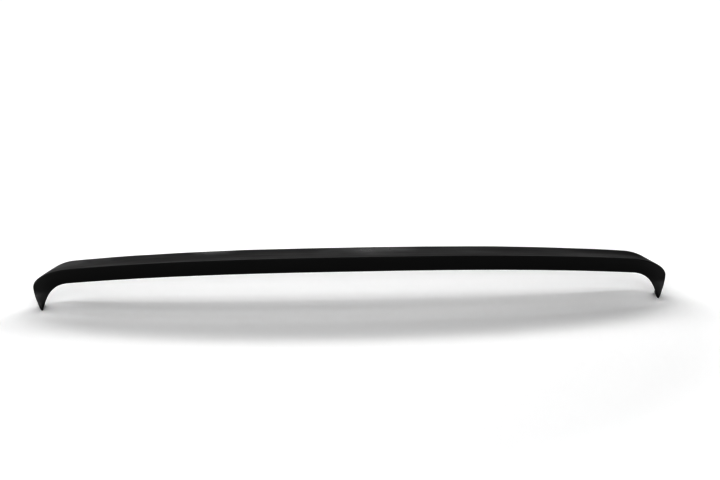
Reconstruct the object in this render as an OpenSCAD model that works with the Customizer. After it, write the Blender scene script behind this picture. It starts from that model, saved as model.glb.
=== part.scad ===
// Boot-lid lip spoiler, one moulded piece.
// A slim wedge-section bar, bowed upward and rearward, whose ends roll over the
// corners of the lid and run down to pointed fins. Millimetres, +Z up. X runs
// across the car, the rear face looks toward -Y, the leading edge is at +Y, and
// the feet of the fins stand on z = 0.
//
// Three guide lines run from the middle of the bar to the foot of each fin:
//   crease  - top of the rear face, later the outer edge of the fin
//   hem     - bottom of the rear face, later the inner edge of the fin
//   lead    - the leading edge, later the front edge of the fin
// Each cross-section is a rounded triangle on those three lines.

/* [Bar] */
// Height of the crease above the floor at the middle
crease_z = 109; // [95:1:130]
// Height of the rear face at the middle
face_h = 30; // [22:0.5:36]
// Half length of the crease up to where it turns into the shoulder
crease_half = 556; // [545:1:565]
// Drop of the crease from the middle to the shoulder
crown = 25; // [15:0.5:32]
// Exponent of the crown curve
crown_pow = 2.5; // [2:0.1:3]
// Forward sweep of the trailing edge from the middle to the shoulder
sweep = 34; // [15:1:45]
// Exponent of the sweep curve
sweep_pow = 2.3; // [2:0.1:3]
// Forward lean of the bottom of the rear face
face_lean = 2; // [0:0.5:6]
// Outward crown of the rear face
face_bulge = 0.8; // [0:0.1:2]

/* [Top surface] */
// Depth from the crease to the leading edge at the middle
top_depth = 86; // [75:1:100]
// Fall from the crease to the leading edge
top_fall = 8; // [4:0.5:14]
// Hollow of the top surface, which gives the crease its kick
top_hollow = 1.2; // [0:0.1:3]
// Half length of the leading edge
lead_half = 577; // [565:1:585]
// Forward sweep of the leading edge from the middle to its ends
lead_sweep = 19; // [10:1:30]
// Drop of the leading edge from the middle to its ends
lead_crown = 25; // [15:0.5:32]
// Thickness of the leading edge
lead_t = 4; // [3:0.5:6]
// Corner radius of the leading edge in plan, measured along each side
lead_corner = 15; // [8:1:24]

/* [Fins] */
// Half width at the widest point of the fins
fin_half = 639; // [634:1:645]
// Height of the widest point
fin_widest_z = 40; // [36:1:48]
// Setback of the widest point behind the line of the crease
fin_widest_y = 50; // [42:1:56]
// Half distance between the outer edges of the two tips
tip_half = 620; // [614:0.5:626]
// Setback of the tips
tip_y = 30; // [24:1:38]
// Depth of the foot of a fin, from its tip to its front
foot_depth = 32; // [26:1:38]
// Width of the foot at the tip
foot_w = 2.5; // [2:0.5:4]

/* [Edges] */
// Rounding of the crease along the bar
crease_r = 3; // [1:0.5:6]
// Rounding of the outer edge of the fins
fin_r = 7.5; // [4:0.5:10]
// Rounding of the hem
hem_r = 1.6; // [0.5:0.1:3]

/* [Underside] */
// Depth of the shallow recess that takes the bonding tape
recess_d = 1.5; // [0.5:0.1:2.5]
// Width of the rim left around the recess
rim_w = 9; // [6:0.5:14]
// Half length of the recess
recess_half = 520; // [400:10:540]

/* [Resolution] */
// Sections from the middle of the bar to the shoulder
n_bar = 26; // [16:1:40]
// Sections from the shoulder to the foot of a fin
n_fin = 24; // [18:6:42]

/* [Hidden] */
hem_half = 565;
steps = n_bar + n_fin;
cut = 0.6;          // the fins are lofted this far below the floor, then cut flat

// ---- small vector helpers ----
function unit(v) = v / norm(v);
function mix(a, b, u) = a + (b - a) * u;
function bez(a, b, c, d, u) =
    a * pow(1 - u, 3) + b * 3 * pow(1 - u, 2) * u + c * 3 * (1 - u) * u * u + d * pow(u, 3);
function smooth01(u) = let (w = min(1, max(0, u))) w * w * (3 - 2 * w);

// ---- guide lines along the bar, q = 0 at the middle and 1 at the shoulder ----
function arc_pt(half, y0, dy, z0, dz, q) =
    [half * q, y0 + dy * pow(q, sweep_pow), z0 - dz * pow(q, crown_pow)];
function crease_bar(q) = arc_pt(crease_half, 0, sweep, crease_z, crown, q);
function hem_bar(q) =
    arc_pt(hem_half, face_lean, sweep, crease_z - face_h, crown + 0.5, q);
function lead_bar(q) =
    arc_pt(lead_half, top_depth, lead_sweep, crease_z - top_fall, lead_crown, q);

// direction in which a guide line leaves the bar
crease_dir = unit(crease_bar(1) - crease_bar(0.999));
hem_dir = unit(hem_bar(1) - hem_bar(0.999));
lead_q = 1 - lead_corner / lead_half;

// ---- guide lines round the shoulder and down the fin, v = 0..1 ----
widest = [fin_half, fin_widest_y, fin_widest_z];
tip = [tip_half, tip_y, -cut];
tip_in = [tip_half - foot_w, tip_y + 1, -cut];
foot_front = [tip_half + 3, tip_y + foot_depth, -cut];

function crease_fin(v) = v < 0.5
    ? bez(crease_bar(1), crease_bar(1) + crease_dir * 42.5, widest + [0, -2.2, 22], widest, v * 2)
    : bez(widest, widest + [0, 1.8, -18.5], tip + [8.5, 0, 10.5], tip, v * 2 - 1);
function hem_fin(v) =
    bez(hem_bar(1), hem_bar(1) + hem_dir * 40, tip_in + [-7.5, 0, 21], tip_in, v);

// the leading edge turns its corner, then runs out, back and down to the foot
lead_end = lead_bar(1);
lead_out = unit([41, -30, -10.5]);
corner_out = lead_end + lead_out * lead_corner;
function lead_fin(v) = v < 1 / 6
    ? let (u = v * 6) mix(mix(lead_bar(lead_q), lead_end, u), mix(lead_end, corner_out, u), u)
    : bez(corner_out, corner_out + lead_out * 32, foot_front + [4, 0, 45], foot_front, (v - 1 / 6) * 1.2);

// ---- section k of the half spoiler: k = 0 at the middle, k = steps at the foot ----
function crease_at(k) = k <= n_bar ? crease_bar(k / n_bar) : crease_fin((k - n_bar) / n_fin);
function hem_at(k) = k <= n_bar ? hem_bar(k / n_bar) : hem_fin((k - n_bar) / n_fin);
function lead_at(k) = k <= n_bar ? lead_bar(lead_q * k / n_bar) : lead_fin((k - n_bar) / n_fin);
function fin_share(k) = max(0, (k - n_bar) / n_fin);

// one closed ring of points, from the nose of the leading edge over the top,
// down the rear face and back along the underside
function ring(k) =
    let (
        o = crease_at(k), h = hem_at(k), f = lead_at(k), s = fin_share(k),
        // directions inside the triangle
        oh = unit(h - o), of = unit(f - o), hf = unit(f - h),
        inward = unit((o - h) - hf * ((o - h) * hf)),   // from the underside into the solid
        down = unit((h - o) - of * ((h - o) * of)),     // from the top surface into the solid
        back = unit((o - f) - oh * ((o - f) * oh)),     // out of the rear face
        top_len = norm(f - o), face_len = norm(h - o), base_len = norm(f - h),
        // rounded crease
        r = min(crease_r + (fin_r - crease_r) * sin(90 * s), 0.42 * face_len, 0.42 * top_len),
        ra = o + of * r, rb = o + oh * r,
        // rounded hem
        rh = min(hem_r, 0.25 * face_len, 0.2 * base_len),
        ha = h - oh * rh, hb = h + hf * rh,
        // nose of the leading edge: a half round of thickness t
        t = min(lead_t - 1.5 * s, 0.5 * base_len),
        nose_c = f - of * t / 2 + down * t / 2,
        // underside line from the hem to the bottom of the nose
        fb = f - of * t / 2 + down * t,
        rim = min(rim_w, 0.25 * norm(fb - hb)),
        u_dir = unit(fb - hb),
        across = norm(fb - hb),
        deep = recess_d * smooth01((recess_half - norm([o[0]])) / 25),
        hollow = top_hollow * (1 - smooth01(s * 3)),
        bulge = face_bulge + 1.2 * s * (1 - s),
        fat = 0.6 * smooth01(s * 2) * (1 - s)     // outward crown of the fin's outer face
    )
    concat(
        [for (a = [90, 45, 0, -45]) nose_c + of * (cos(a) * t / 2) + down * (sin(a) * t / 2)],
        [nose_c - down * (t / 2)],
        [for (i = [1:4]) let (u = i / 5, bow = 4 * u * (1 - u))
            mix(nose_c - down * (t / 2), ra, u) + down * (hollow - fat) * bow],
        [for (i = [0:4]) let (u = i / 4) mix(mix(ra, o, u), mix(o, rb, u), u)],
        [for (i = [1:2]) let (u = i / 3, bow = 4 * u * (1 - u))
            mix(rb, ha, u) + back * bulge * bow],
        [for (i = [0:2]) let (u = i / 2) mix(mix(ha, h, u), mix(h, hb, u), u)],
        [hb + u_dir * rim,
         hb + u_dir * (rim + 0.6) + inward * deep,
         hb + u_dir * (rim + (across - 2 * rim) / 3) + inward * deep,
         hb + u_dir * (rim + (across - 2 * rim) * 2 / 3) + inward * deep,
         hb + u_dir * (across - rim - 0.6) + inward * deep,
         hb + u_dir * (across - rim)]
    );

function flip(p) = [-p[0], p[1], p[2]];
function centre(r) = [for (c = [0:2]) let (v = [for (p = r) p[c]]) v * [for (p = r) 1] / len(r)];

rings = concat(
    [for (k = [steps:-1:1]) [for (p = ring(k)) flip(p)]],
    [for (k = [0:steps]) ring(k)]
);
ring_n = len(rings[0]);
ring_count = len(rings);

// the origin is on the floor under the middle of the outline seen from above
ys = [for (r = rings) for (p = r) if (p[2] >= 0) p[1]];
mid_y = (min(ys) + max(ys)) / 2;

// the rings joined into one closed skin
module skin() {
    polyhedron(
        points = concat([for (r = rings) for (p = r) p], [centre(rings[0]), centre(rings[ring_count - 1])]),
        faces = concat(
            [for (j = [0:ring_count - 2]) for (i = [0:ring_n - 1])
                let (a = j * ring_n + i, b = j * ring_n + (i + 1) % ring_n)
                each [[a, a + ring_n, b], [b, a + ring_n, b + ring_n]]],
            [for (i = [0:ring_n - 1]) [i, (i + 1) % ring_n, ring_count * ring_n]],
            [for (i = [0:ring_n - 1])
                let (a = (ring_count - 1) * ring_n)
                [a + (i + 1) % ring_n, a + i, ring_count * ring_n + 1]]
        ),
        convexity = 6
    );
}

// one moulded piece, cut flat at the floor so that it stands on its feet
module spoiler() {
    color([0.09, 0.09, 0.095])
        translate([0, -mid_y, 0])
            difference() {
                skin();
                translate([-fin_half - 10, -50, -20]) cube([2 * fin_half + 20, 250, 20]);
            }
}

spoiler();
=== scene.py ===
import math

import bmesh
import bpy
import numpy as np
from mathutils import Matrix, Vector


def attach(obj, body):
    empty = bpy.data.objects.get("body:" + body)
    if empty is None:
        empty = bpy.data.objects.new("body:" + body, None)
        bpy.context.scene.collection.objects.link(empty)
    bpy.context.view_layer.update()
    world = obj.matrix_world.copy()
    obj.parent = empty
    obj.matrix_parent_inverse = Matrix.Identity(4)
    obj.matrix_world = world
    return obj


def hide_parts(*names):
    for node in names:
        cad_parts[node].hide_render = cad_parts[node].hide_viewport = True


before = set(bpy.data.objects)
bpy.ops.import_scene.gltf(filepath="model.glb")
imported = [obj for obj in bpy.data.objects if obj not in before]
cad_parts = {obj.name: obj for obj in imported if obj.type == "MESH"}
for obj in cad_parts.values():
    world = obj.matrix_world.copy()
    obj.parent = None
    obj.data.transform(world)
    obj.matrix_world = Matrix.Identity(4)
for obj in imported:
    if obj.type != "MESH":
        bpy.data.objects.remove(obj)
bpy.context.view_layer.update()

# ---------------------------------------------------------------------------
# Boot-lid lip spoiler. The same three guide lines as the CAD solid (crease, hem
# and leading edge) carry a finer rounded-triangle section, lofted from the foot
# of one fin over the bar to the foot of the other. Lengths below are in mm.
# ---------------------------------------------------------------------------
CREASE_Z, FACE_H = 109.0, 30.0
CREASE_HALF, HEM_HALF, LEAD_HALF = 556.0, 565.0, 577.0
CROWN, CROWN_POW = 25.0, 2.5
SWEEP, SWEEP_POW = 34.0, 2.3
FACE_LEAN, FACE_BULGE = 2.0, 0.8
TOP_DEPTH, TOP_FALL, TOP_HOLLOW = 86.0, 8.0, 1.2
LEAD_SWEEP, LEAD_CROWN, LEAD_T, LEAD_CORNER = 19.0, 25.0, 4.0, 15.0
FIN_HALF, FIN_WIDEST_Z, FIN_WIDEST_Y = 639.0, 40.0, 50.0
TIP_HALF, TIP_Y, FOOT_DEPTH, FOOT_W = 620.0, 30.0, 32.0, 2.5
CREASE_R, FIN_R, HEM_R = 3.0, 7.5, 1.6
RECESS_D, RIM_W, RECESS_HALF = 1.5, 9.0, 520.0
N_BAR, N_FIN = 150, 96
BELOW = 0.6          # lofted this far under the floor, then cut flat


def vec(*a):
    return np.array(a, float)


def unit(v):
    return v / np.linalg.norm(v)


def mix(a, b, u):
    return a + (b - a) * u


def bez(a, b, c, d, u):
    w = 1 - u
    return a * w ** 3 + b * 3 * w * w * u + c * 3 * w * u * u + d * u ** 3


def smooth01(u):
    u = min(1.0, max(0.0, u))
    return u * u * (3 - 2 * u)


def arc_pt(half, y0, dy, z0, dz, q):
    return vec(half * q, y0 + dy * q ** SWEEP_POW, z0 - dz * q ** CROWN_POW)


def crease_bar(q):
    return arc_pt(CREASE_HALF, 0.0, SWEEP, CREASE_Z, CROWN, q)


def hem_bar(q):
    return arc_pt(HEM_HALF, FACE_LEAN, SWEEP, CREASE_Z - FACE_H, CROWN + 0.5, q)


def lead_bar(q):
    return arc_pt(LEAD_HALF, TOP_DEPTH, LEAD_SWEEP, CREASE_Z - TOP_FALL, LEAD_CROWN, q)


CREASE_DIR = unit(crease_bar(1.0) - crease_bar(0.999))
HEM_DIR = unit(hem_bar(1.0) - hem_bar(0.999))
LEAD_Q = 1 - LEAD_CORNER / LEAD_HALF
WIDEST = vec(FIN_HALF, FIN_WIDEST_Y, FIN_WIDEST_Z)
TIP = vec(TIP_HALF, TIP_Y, -BELOW)
TIP_IN = vec(TIP_HALF - FOOT_W, TIP_Y + 1, -BELOW)
FOOT_FRONT = vec(TIP_HALF + 3, TIP_Y + FOOT_DEPTH, -BELOW)
LEAD_END = lead_bar(1.0)
LEAD_OUT = unit(vec(41, -30, -10.5))
CORNER_OUT = LEAD_END + LEAD_OUT * LEAD_CORNER


def crease_fin(v):
    if v < 0.5:
        return bez(crease_bar(1.0), crease_bar(1.0) + CREASE_DIR * 42.5, WIDEST + vec(0, -2.2, 22), WIDEST, v * 2)
    return bez(WIDEST, WIDEST + vec(0, 1.8, -18.5), TIP + vec(8.5, 0, 10.5), TIP, v * 2 - 1)


def hem_fin(v):
    return bez(hem_bar(1.0), hem_bar(1.0) + HEM_DIR * 40, TIP_IN + vec(-7.5, 0, 21), TIP_IN, v)


def lead_fin(v):
    if v < 1 / 6:
        u = v * 6
        return mix(mix(lead_bar(LEAD_Q), LEAD_END, u), mix(LEAD_END, CORNER_OUT, u), u)
    return bez(CORNER_OUT, CORNER_OUT + LEAD_OUT * 32, FOOT_FRONT + vec(4, 0, 45), FOOT_FRONT, (v - 1 / 6) * 1.2)


def quad(a, b, c, u):
    return mix(mix(a, b, u), mix(b, c, u), u)


def lip_wave(x):
    """The leading edge of a soft lip isn't quite straight (mm)."""
    return 0.14 * math.sin(x / 41.0 + 1.0) + 0.08 * math.sin(x / 19.0)


def ring(k, side=1):
    """Closed section k, from the nose over the top and the crease, down the
    rear face and back along the underside. Gives points and, for each one, how
    near it is to the crease (1 on it)."""
    if k <= N_BAR:
        q = k / N_BAR
        o, h, f, s = crease_bar(q), hem_bar(q), lead_bar(LEAD_Q * q), 0.0
    else:
        s = (k - N_BAR) / N_FIN
        o, h, f = crease_fin(s), hem_fin(s), lead_fin(s)
    oh, of, hf = unit(h - o), unit(f - o), unit(f - h)
    inward = unit((o - h) - hf * np.dot(o - h, hf))
    down = unit((h - o) - of * np.dot(h - o, of))
    back = unit((o - f) - oh * np.dot(o - f, oh))
    top_len, face_len, base_len = np.linalg.norm(f - o), np.linalg.norm(h - o), np.linalg.norm(f - h)
    r = min(CREASE_R + (FIN_R - CREASE_R) * math.sin(math.pi / 2 * s), 0.42 * face_len, 0.42 * top_len)
    ra, rb = o + of * r, o + oh * r
    rh = min(HEM_R, 0.25 * face_len, 0.2 * base_len)
    ha, hb = h - oh * rh, h + hf * rh
    t = min(LEAD_T - 1.5 * s, 0.5 * base_len)
    nose_c = f - of * t / 2 + down * t / 2
    nose_top = nose_c - down * (t / 2)
    fb = f - of * t / 2 + down * t
    across = np.linalg.norm(fb - hb)
    rim = min(RIM_W, 0.25 * across)
    ud = unit(fb - hb)
    deep = RECESS_D * smooth01((RECESS_HALF - abs(o[0])) / 25)
    hollow = TOP_HOLLOW * (1 - smooth01(s * 3))
    bulge = FACE_BULGE + 1.2 * s * (1 - s)
    fat = 0.6 * smooth01(s * 2) * (1 - s)
    lift = vec(0, 0, lip_wave(side * o[0]) * (1 - smooth01(s * 2)))
    p, near = [], []

    def add(q_, n=0.0):
        p.append(q_)
        near.append(n)

    for a in np.linspace(90, -90, 13)[:-1]:
        c_, s_ = math.cos(math.radians(a)), math.sin(math.radians(a))
        add(nose_c + of * (c_ * t / 2) + down * (s_ * t / 2) + lift * (1 - s_) / 2)
    add(nose_top + lift)
    n = 16
    for i in range(1, n):
        u = i / n
        add(mix(nose_top, ra, u) + down * (hollow - fat) * 4 * u * (1 - u) + lift * max(0.0, 1 - u / 0.4) ** 2,
            smooth01((u - 0.8) / 0.2) * 0.5)
    for i in range(11):
        u = i / 10
        add(quad(ra, o, rb, u), 1.0 if 1 <= i <= 9 else 0.75)
    n = 9
    for i in range(1, n):
        u = i / n
        add(mix(rb, ha, u) + back * bulge * 4 * u * (1 - u), 0.5 * smooth01((0.3 - u) / 0.3))
    for i in range(7):
        add(quad(ha, h, hb, i / 6), 0.6)
    add(hb + ud * rim * 0.5)
    add(hb + ud * (rim - 0.25))
    add(hb + ud * rim + inward * deep * 0.08)
    add(hb + ud * (rim + 0.3) + inward * deep * 0.5)
    add(hb + ud * (rim + 0.6) + inward * deep * 0.92)
    add(hb + ud * (rim + 0.9) + inward * deep)
    for i in range(1, 8):
        add(hb + ud * mix(rim + 0.9, across - rim - 0.9, i / 8) + inward * deep)
    add(hb + ud * (across - rim - 0.9) + inward * deep)
    add(hb + ud * (across - rim - 0.6) + inward * deep * 0.92)
    add(hb + ud * (across - rim - 0.3) + inward * deep * 0.5)
    add(hb + ud * (across - rim) + inward * deep * 0.08)
    add(hb + ud * (across - rim + 0.25))
    add(hb + ud * (across - rim * 0.5))
    return np.array(p), near


def build_spoiler():
    left = [ring(k, -1) for k in range(N_BAR + N_FIN, 0, -1)]
    right = [ring(k) for k in range(N_BAR + N_FIN + 1)]
    rings = [h[0] * vec(-1, 1, 1) for h in left] + [h[0] for h in right]
    nears = [h[1] for h in left] + [h[1] for h in right]
    pts = np.array(rings)
    count, n = pts.shape[:2]
    flat = pts.reshape(-1, 3)
    above = flat[flat[:, 2] >= 0]
    mid_y = (above[:, 1].min() + above[:, 1].max()) / 2
    flat = (flat - vec(0, mid_y, 0)) / 1000.0

    bm = bmesh.new()
    near_layer = bm.verts.layers.float.new("edge_near")
    verts = []
    for p, w in zip(flat, np.array(nears).reshape(-1)):
        v = bm.verts.new(p)
        v[near_layer] = float(w)
        verts.append(v)
    for j in range(count - 1):
        for i in range(n):
            a, b = j * n + i, j * n + (i + 1) % n
            bm.faces.new((verts[a], verts[a + n], verts[b + n], verts[b]))
    bm.faces.new([verts[i] for i in range(n)])
    bm.faces.new([verts[(count - 1) * n + i] for i in range(n - 1, -1, -1)])

    # stand it on flat feet
    geom = bm.verts[:] + bm.edges[:] + bm.faces[:]
    bmesh.ops.bisect_plane(bm, geom=geom, plane_co=(0, 0, 0), plane_no=(0, 0, 1), clear_inner=True)
    edges = [e for e in bm.edges if e.is_boundary]
    bmesh.ops.edgeloop_fill(bm, edges=edges)
    bmesh.ops.recalc_face_normals(bm, faces=bm.faces[:])
    for f in bm.faces:
        f.smooth = True
    me = bpy.data.meshes.new("spoiler_moulding")
    bm.to_mesh(me)
    bm.free()
    me.set_sharp_from_angle(angle=math.radians(38))
    ob = bpy.data.objects.new("spoiler_moulding", me)
    bpy.context.scene.collection.objects.link(ob)
    return ob


# ---------------------------------------------------------------------------
# Camera: behind the spoiler, 20 degrees up, a little to its left, 60 mm lens.
# The frame is taken as 720 x 480.
# ---------------------------------------------------------------------------
def make_camera():
    cam = bpy.data.cameras.new("camera")
    cam.sensor_width = 36.0
    cam.lens = 60.0
    cam.clip_start, cam.clip_end = 0.05, 200.0
    ob = bpy.data.objects.new("camera", cam)
    bpy.context.scene.collection.objects.link(ob)
    a, e = math.radians(3.15), math.radians(20.0)
    fwd = Vector((math.sin(a) * math.cos(e), math.cos(a) * math.cos(e), -math.sin(e)))
    right = Vector((math.cos(a), -math.sin(a), 0))
    up = right.cross(fwd)
    aim = Vector((0.0, -0.0118, 0.060))
    rot = Matrix((right, up, -fwd)).transposed().to_4x4()
    # the aimed point shows 5.67 px left of and 34.16 px below the frame's middle
    tilt = Matrix.Rotation(math.atan2(34.16, 1200.0), 4, "X")
    turn = Matrix.Rotation(-math.atan2(5.67, 1200.0), 4, "Y")
    ob.matrix_world = Matrix.Translation(aim - fwd * 2.4) @ rot @ tilt @ turn
    bpy.context.scene.camera = ob
    return ob


# ---------------------------------------------------------------------------
# Materials
# ---------------------------------------------------------------------------
def node_material(name):
    m = bpy.data.materials.new(name)
    m.use_nodes = True
    nt = m.node_tree
    nt.nodes.clear()
    out = nt.nodes.new("ShaderNodeOutputMaterial")
    bsdf = nt.nodes.new("ShaderNodeBsdfPrincipled")
    nt.links.new(bsdf.outputs["BSDF"], out.inputs["Surface"])
    return m, nt, bsdf


def noise(nt, coord, scale, detail=2.0, rough=0.5, stretch=None, w=0.0):
    if stretch is not None:
        mp = nt.nodes.new("ShaderNodeMapping")
        mp.inputs["Scale"].default_value = stretch
        nt.links.new(coord, mp.inputs["Vector"])
        coord = mp.outputs["Vector"]
    n = nt.nodes.new("ShaderNodeTexNoise")
    n.noise_dimensions = "4D"
    n.inputs["W"].default_value = w
    n.inputs["Scale"].default_value = scale
    n.inputs["Detail"].default_value = detail
    n.inputs["Roughness"].default_value = rough
    nt.links.new(coord, n.inputs["Vector"])
    return n.outputs["Fac"]


def ramp(nt, fac, lo, hi, to_lo=0.0, to_hi=1.0):
    r = nt.nodes.new("ShaderNodeMapRange")
    r.interpolation_type = "SMOOTHSTEP"
    r.inputs["From Min"].default_value = lo
    r.inputs["From Max"].default_value = hi
    r.inputs["To Min"].default_value = to_lo
    r.inputs["To Max"].default_value = to_hi
    nt.links.new(fac, r.inputs["Value"])
    return r.outputs["Result"]


def math_node(nt, op, a, b=None, clamp=False):
    n = nt.nodes.new("ShaderNodeMath")
    n.operation = op
    n.use_clamp = clamp
    for i, x in enumerate((a, b)):
        if x is None:
            continue
        if isinstance(x, (int, float)):
            n.inputs[i].default_value = x
        else:
            nt.links.new(x, n.inputs[i])
    return n.outputs[0]


def bump(nt, height, distance, strength=1.0, below=None):
    b = nt.nodes.new("ShaderNodeBump")
    b.inputs["Distance"].default_value = distance
    b.inputs["Strength"].default_value = strength
    nt.links.new(height, b.inputs["Height"])
    if below is not None:
        nt.links.new(below, b.inputs["Normal"])
    return b.outputs["Normal"]


def black_plastic():
    m, nt, bsdf = node_material("black_plastic")
    tc = nt.nodes.new("ShaderNodeTexCoord")
    obj = tc.outputs["Object"]
    grain = noise(nt, obj, 900.0, 3.0, 0.6)
    peel = noise(nt, obj, 95.0, 2.0, 0.5, w=2.0)
    wave = noise(nt, obj, 9.0, 1.0, 0.4, stretch=(0.45, 1.6, 1.0), w=5.0)
    smear = noise(nt, obj, 16.0, 4.0, 0.6, stretch=(0.35, 1.4, 1.0), w=9.0)
    streak = noise(nt, obj, 60.0, 3.0, 0.55, stretch=(0.09, 1.8, 1.0), w=13.0)
    specks = noise(nt, obj, 420.0, 2.0, 0.6, w=17.0)
    near = nt.nodes.new("ShaderNodeAttribute")
    near.attribute_name = "edge_near"

    col = nt.nodes.new("ShaderNodeMix")
    col.data_type = "RGBA"
    col.inputs["A"].default_value = (0.0074, 0.0074, 0.0074, 1)
    col.inputs["B"].default_value = (0.0125, 0.0125, 0.0122, 1)
    nt.links.new(ramp(nt, smear, 0.35, 0.75), col.inputs["Factor"])
    nt.links.new(col.outputs["Result"], bsdf.inputs["Base Color"])

    # soft, uneven shinier places along the leading edge, as on the real one
    bend = nt.nodes.new("ShaderNodeTexNoise")
    bend.inputs["Scale"].default_value = 13.0
    bend.inputs["Detail"].default_value = 3.0
    nt.links.new(obj, bend.inputs["Vector"])
    half = nt.nodes.new("ShaderNodeVectorMath")
    half.operation = "SUBTRACT"
    half.inputs[1].default_value = (0.5, 0.5, 0.5)
    nt.links.new(bend.outputs["Color"], half.inputs[0])
    shift = nt.nodes.new("ShaderNodeVectorMath")
    shift.operation = "MULTIPLY_ADD"
    shift.inputs[1].default_value = (0.16, 0.030, 0.0)
    nt.links.new(half.outputs["Vector"], shift.inputs[0])
    nt.links.new(obj, shift.inputs[2])
    shine = None
    for at, size in (((-0.556, 0.036, 0.085), (0.038, 0.026, 0.04)), ((-0.283, 0.032, 0.100), (0.050, 0.022, 0.05)),
                     ((0.022, 0.016, 0.100), (0.080, 0.036, 0.05))):
        off = nt.nodes.new("ShaderNodeVectorMath")
        off.operation = "SUBTRACT"
        off.inputs[1].default_value = at
        nt.links.new(shift.outputs["Vector"], off.inputs[0])
        div = nt.nodes.new("ShaderNodeVectorMath")
        div.operation = "DIVIDE"
        div.inputs[1].default_value = size
        nt.links.new(off.outputs["Vector"], div.inputs[0])
        far = nt.nodes.new("ShaderNodeVectorMath")
        far.operation = "LENGTH"
        nt.links.new(div.outputs["Vector"], far.inputs[0])
        one = ramp(nt, far.outputs["Value"], 0.1, 1.45, 1.0, 0.0)
        shine = math_node(nt, "MULTIPLY", one, 0.8) if shine is None else math_node(nt, "MAXIMUM", shine, one)
    rubbed = math_node(nt, "MULTIPLY", near.outputs["Fac"], ramp(nt, smear, 0.35, 0.6, 0.3, 1.0))
    shine = math_node(nt, "MULTIPLY", shine, ramp(nt, streak, 0.3, 0.6, 0.6, 1.0))
    rough = math_node(nt, "SUBTRACT", ramp(nt, smear, 0.3, 0.75, 0.40, 0.50), math_node(nt, "MULTIPLY", shine, 0.23))
    rough = math_node(nt, "ADD", rough, ramp(nt, streak, 0.3, 0.7, -0.035, 0.035))
    plain = math_node(nt, "SUBTRACT", 1.0, shine, clamp=True)     # the grain fades in the shiny places
    rough = math_node(nt, "ADD", rough, math_node(nt, "MULTIPLY", plain, ramp(nt, specks, 0.3, 0.7, -0.012, 0.012)))
    rough = math_node(nt, "SUBTRACT", rough, math_node(nt, "MULTIPLY", rubbed, 0.09))
    nt.links.new(rough, bsdf.inputs["Roughness"])
    bsdf.inputs["IOR"].default_value = 1.5
    bsdf.inputs["Specular IOR Level"].default_value = 0.4

    n1 = bump(nt, wave, 0.0032)
    n2 = bump(nt, peel, 0.00006, below=n1)
    n3 = bump(nt, grain, 0.00003, below=n2)
    nt.links.new(plain, n3.node.inputs["Strength"])
    nt.links.new(n3, bsdf.inputs["Normal"])
    return m


def floor_material():
    """White sweep. Away from the lamps it is lifted, so that it stays plain white
    out to the edge of the picture."""
    m, nt, bsdf = node_material("studio_floor")
    bsdf.inputs["Base Color"].default_value = (0.86, 0.86, 0.86, 1)
    bsdf.inputs["Roughness"].default_value = 1.0
    bsdf.inputs["Specular IOR Level"].default_value = 0.0
    bsdf.inputs["Emission Color"].default_value = (1, 1, 1, 1)
    tc = nt.nodes.new("ShaderNodeTexCoord")
    far = nt.nodes.new("ShaderNodeVectorMath")
    far.operation = "LENGTH"
    nt.links.new(tc.outputs["Object"], far.inputs[0])
    nt.links.new(ramp(nt, far.outputs["Value"], 0.64, 1.45, 0.0, 1.0), bsdf.inputs["Emission Strength"])
    return m


# ---------------------------------------------------------------------------
# Studio
# ---------------------------------------------------------------------------
def area(name, loc, look, size, power, kind="all"):
    li = bpy.data.lights.new(name, "AREA")
    li.shape = "RECTANGLE"
    li.size, li.size_y = size
    li.energy = power
    ob = bpy.data.objects.new(name, li)
    ob.location = loc
    ob.rotation_mode = "QUATERNION"
    ob.rotation_quaternion = (Vector(look) - Vector(loc)).to_track_quat("-Z", "Y")
    bpy.context.scene.collection.objects.link(ob)
    ob.visible_camera = False
    ob.visible_diffuse = kind != "gloss"     # a card, seen only as a reflection
    ob.visible_glossy = kind != "matt"       # a lamp that leaves no reflection
    return ob


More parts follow.
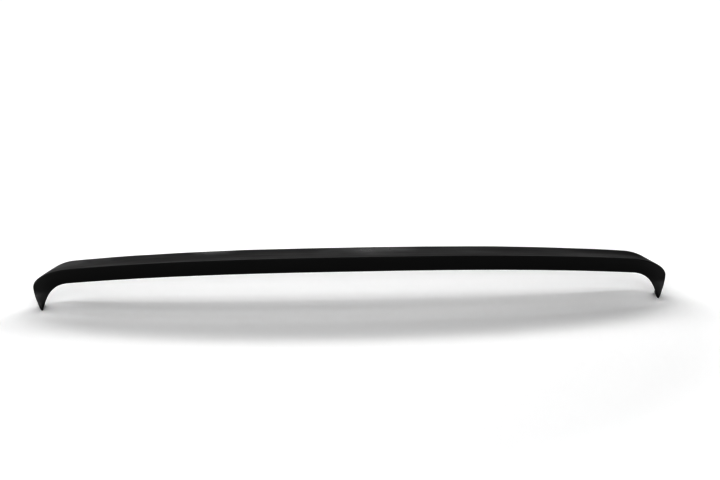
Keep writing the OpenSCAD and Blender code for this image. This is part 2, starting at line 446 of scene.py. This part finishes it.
def studio():
    sc = bpy.context.scene
    sc.view_settings.view_transform = "Standard"
    sc.view_settings.look = "None"
    sc.view_settings.gamma = 0.5      # the photo's hard tone: white floor, deep blacks
    w = bpy.data.worlds.new("studio")
    sc.world = w
    w.use_nodes = True
    nt = w.node_tree
    nt.nodes.clear()
    out = nt.nodes.new("ShaderNodeOutputWorld")
    seen = nt.nodes.new("ShaderNodeBackground")
    seen.inputs["Color"].default_value = (1, 1, 1, 1)
    seen.inputs["Strength"].default_value = 1.0
    light = nt.nodes.new("ShaderNodeBackground")
    light.inputs["Color"].default_value = (1, 1, 1, 1)
    light.inputs["Strength"].default_value = 0.015
    path = nt.nodes.new("ShaderNodeLightPath")
    both = nt.nodes.new("ShaderNodeMixShader")
    nt.links.new(path.outputs["Is Camera Ray"], both.inputs["Fac"])
    nt.links.new(light.outputs["Background"], both.inputs[1])
    nt.links.new(seen.outputs["Background"], both.inputs[2])
    nt.links.new(both.outputs["Shader"], out.inputs["Surface"])

    # soft panels on an arc 3 m from the spoiler: name, elevation above the floor
    # behind it, sideways place, width, depth, watts
    for name, el, x, wide, deep, watts, kind in (
        ("rear_low", 36, 0.0, 2.0, 0.42, 22.2, "matt"),
        ("rear_high", 44, 0.0, 2.0, 0.42, 8.6, "matt"),
        ("over_rear", 70, 0.0, 2.0, 0.42, 15.2, "all"),
        ("over_front", 116, 0.0, 2.0, 0.42, 10.8, "all"),
        ("rear_left", 36, -2.0, 1.6, 0.6, 27.9, "matt"),
        ("rear_right", 36, 2.0, 1.6, 0.6, 37.1, "matt"),
        ("high_left", 60, -2.0, 1.6, 0.6, 19.5, "all"),
        ("high_right", 60, 2.0, 1.6, 0.6, 10.8, "all"),
        ("over_left", 90, -2.0, 1.6, 0.6, 19.1, "all"),
        ("over_right", 90, 2.0, 1.6, 0.6, 9.1, "all"),
        ("front_fill", 150, 0.0, 3.0, 0.8, 43.0, "all"),
    ):
        a = math.radians(el)
        area(name, (x, 3.0 * math.cos(a), 3.0 * math.sin(a)), (x * 0.5, 0, 0.05), (wide, deep), watts, kind)
    # white cards round the set, seen only as reflections
    area("card_back", (-0.38, 2.4, 0.74), (-0.15, 0, 0.08), (3.76, 0.8), 14.3, "gloss")
    area("card_left", (-1.9, -0.9, 0.5), (-0.6, 0, 0.05), (2.2, 0.9), 5.0, "gloss")
    area("card_right", (1.9, -0.9, 0.5), (0.6, 0, 0.05), (2.2, 0.9), 4.0, "gloss")
    area("card_side_left", (-2.13, -0.55, 0.22), (-0.62, 0, 0.03), (0.7, 0.36), 11.5, "gloss")
    area("card_side_right", (2.13, -0.55, 0.22), (0.62, 0, 0.03), (0.7, 0.36), 7.5, "gloss")
    area("card_far_left", (-2.3, 1.7, 1.1), (0, 0, 0.08), (1.2, 1.0), 9.0, "gloss")
    area("card_far_right", (2.3, 1.7, 1.1), (0, 0, 0.08), (1.2, 1.0), 5.0, "gloss")
    area("card_near_left", (-2.3, -2.0, 1.1), (0, 0, 0.08), (1.2, 1.0), 14.0, "gloss")
    area("card_near_right", (2.3, -2.0, 1.1), (0, 0, 0.08), (1.2, 1.0), 14.0, "gloss")

    me = bpy.data.meshes.new("studio_floor")
    s = 40.0
    me.from_pydata([(-s, -s, 0), (s, -s, 0), (s, s, 0), (-s, s, 0)], [], [(0, 1, 2, 3)])
    floor = bpy.data.objects.new("studio_floor", me)
    sc.collection.objects.link(floor)
    me.materials.append(floor_material())


make_camera()
studio()
spoiler = build_spoiler()
spoiler.data.materials.append(black_plastic())
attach(spoiler, "root")
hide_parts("spoiler")
